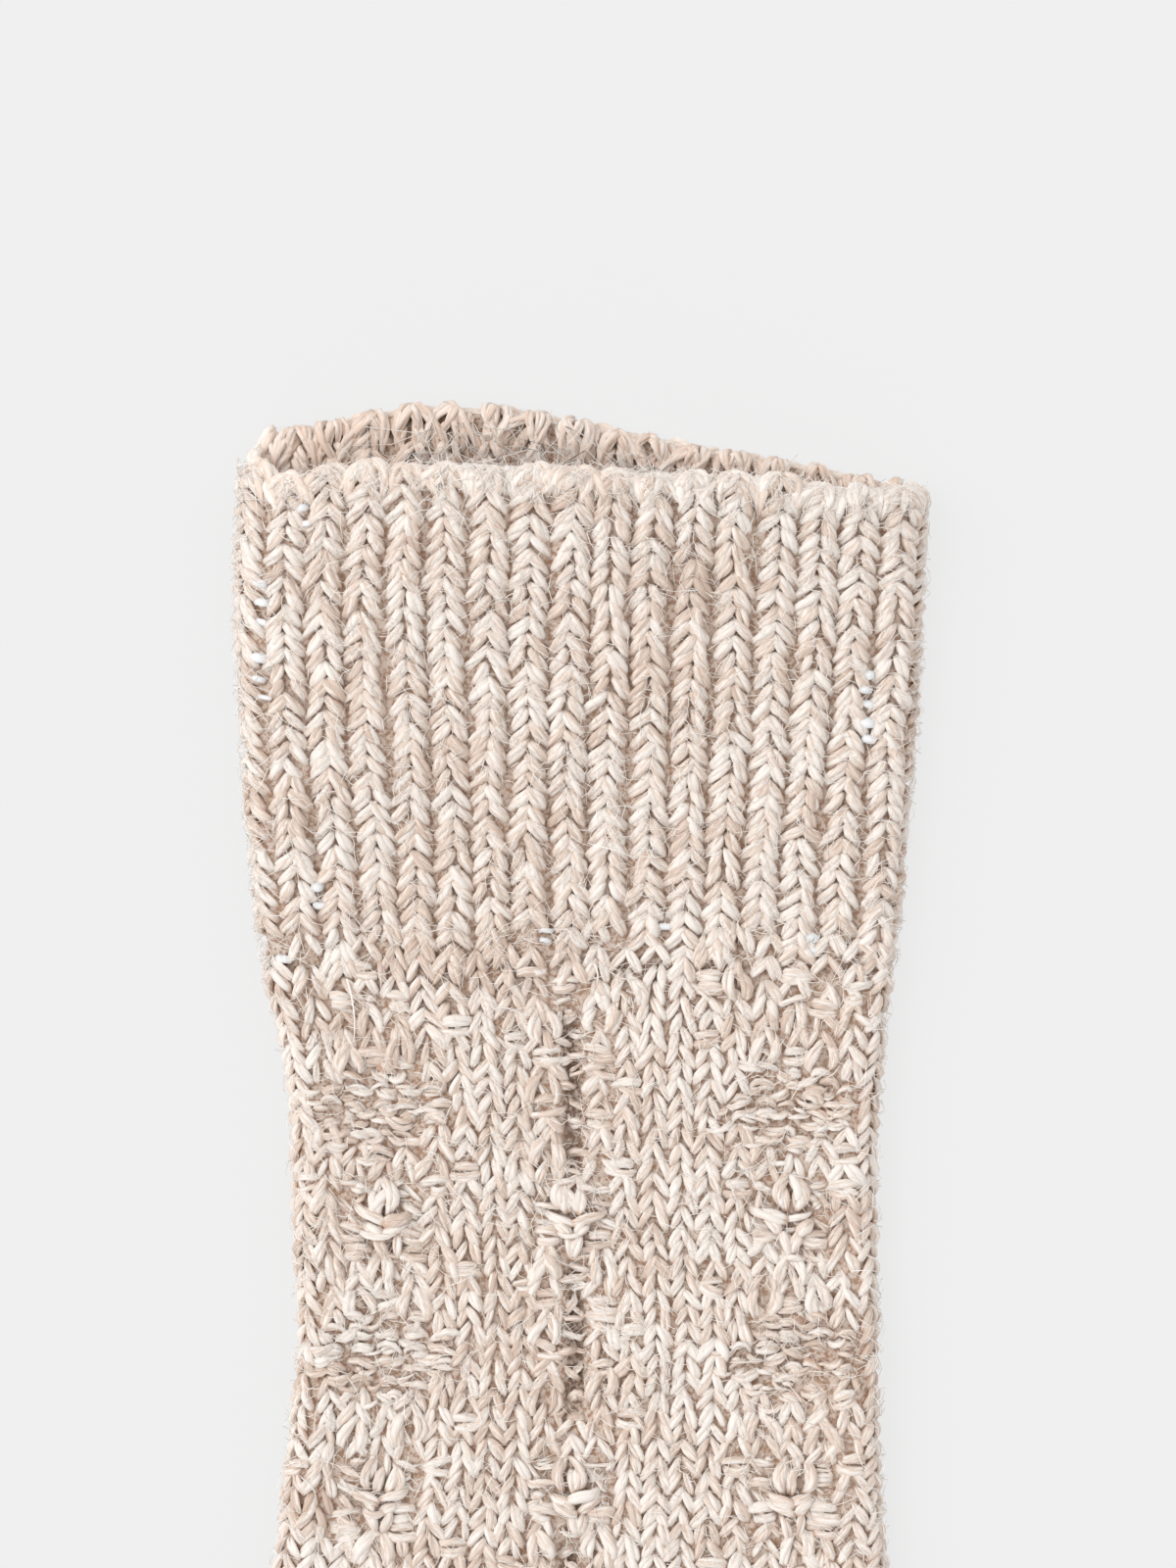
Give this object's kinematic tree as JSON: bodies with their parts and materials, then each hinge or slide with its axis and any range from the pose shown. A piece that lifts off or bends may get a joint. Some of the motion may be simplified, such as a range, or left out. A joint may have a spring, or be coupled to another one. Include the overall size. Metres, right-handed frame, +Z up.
{
  "type": "knitted sock",
  "caption": "Chunky knitted crew sock with a wide ribbed cuff and textured columns down the leg, lying flat on its side.",
  "frame": {"origin": "centre of the sock's box on the surface that it lies on", "axes": "+Z up from the surface, +Y up the leg towards the ribbed cuff, the toe points to -X and -Y"},
  "size_m": [0.2282, 0.3162, 0.0158],
  "materials": {
    "cuff_yarn": "soft melange yarn in oatmeal, knitted in one by one rib",
    "leg_yarn": "soft melange yarn in oatmeal, plain knitting with textured columns",
    "foot_yarn": "soft melange yarn in oatmeal, plain knitting"
  },
  "bodies": {
    "root": {"cuff": "cuff_yarn", "leg": "leg_yarn", "heel": "foot_yarn", "foot": "foot_yarn", "toe": "foot_yarn"}
  },
  "joints": []
}
